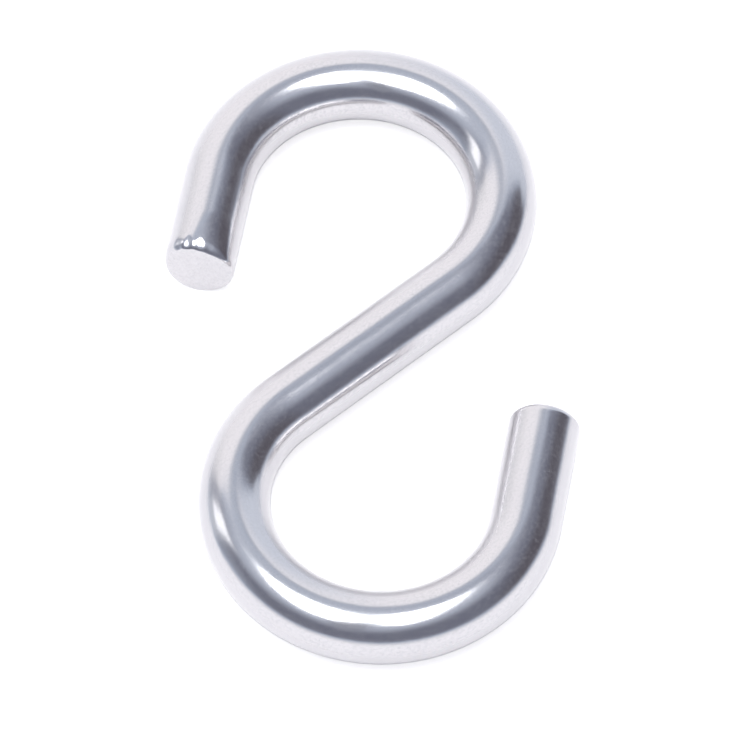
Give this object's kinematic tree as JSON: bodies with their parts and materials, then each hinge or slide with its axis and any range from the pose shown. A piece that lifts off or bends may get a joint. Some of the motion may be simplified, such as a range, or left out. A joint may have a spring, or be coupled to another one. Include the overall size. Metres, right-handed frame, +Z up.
{
  "type": "s hook",
  "caption": "Open S-shaped hook, bent from round polished wire, for hanging things up or linking chains and rings.",
  "frame": {"origin": "middle of the hook, halfway between its bows, on the surface that it lies on", "axes": "+Z up from that surface, square to the plane of the hook; +Y along the hook's length towards the upper bow; +X to the right, towards the lower bow's tip"},
  "size_m": [0.0173, 0.03, 0.003],
  "materials": {
    "polished_wire": "bright polished steel wire"
  },
  "bodies": {
    "root": {"s_hook": "polished_wire"}
  },
  "joints": []
}
